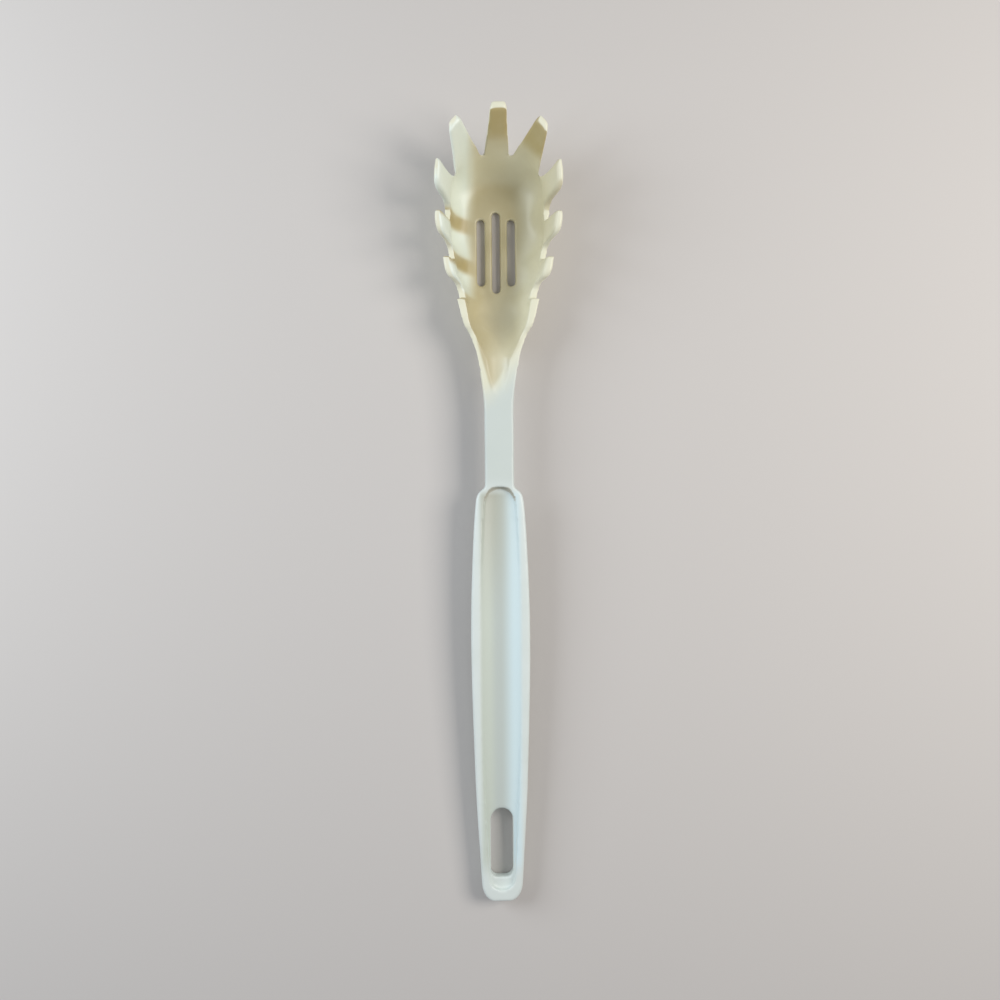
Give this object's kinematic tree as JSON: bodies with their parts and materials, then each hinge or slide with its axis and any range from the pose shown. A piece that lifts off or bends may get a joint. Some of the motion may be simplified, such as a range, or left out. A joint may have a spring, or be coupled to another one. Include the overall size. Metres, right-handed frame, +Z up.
{
  "type": "pasta server",
  "caption": "Moulded kitchen pasta server: deep oval bowl with upstanding prongs round its rim and drain slots in its floor, slim neck and grooved grip with a hanging slot.",
  "frame": {"origin": "on the table, under the middle of the tool as it lies on its back", "axes": "+Y from the grip to the front prong, +X across the tool, +Z up out of the open bowl"},
  "size_m": [0.0512, 0.3175, 0.033],
  "materials": {
    "head_plastic": "smooth moulded plastic, once white, yellowed by hot food",
    "handle_plastic": "smooth moulded white plastic, lightly worn"
  },
  "bodies": {
    "root": {"bowl": "head_plastic", "front_prong": "head_plastic", "left_prong_1": "head_plastic", "left_prong_2": "head_plastic", "left_prong_3": "head_plastic", "left_prong_4": "head_plastic", "left_prong_5": "head_plastic", "right_prong_1": "head_plastic", "right_prong_2": "head_plastic", "right_prong_3": "head_plastic", "right_prong_4": "head_plastic", "right_prong_5": "head_plastic", "neck": "handle_plastic", "grip": "handle_plastic"}
  },
  "joints": []
}
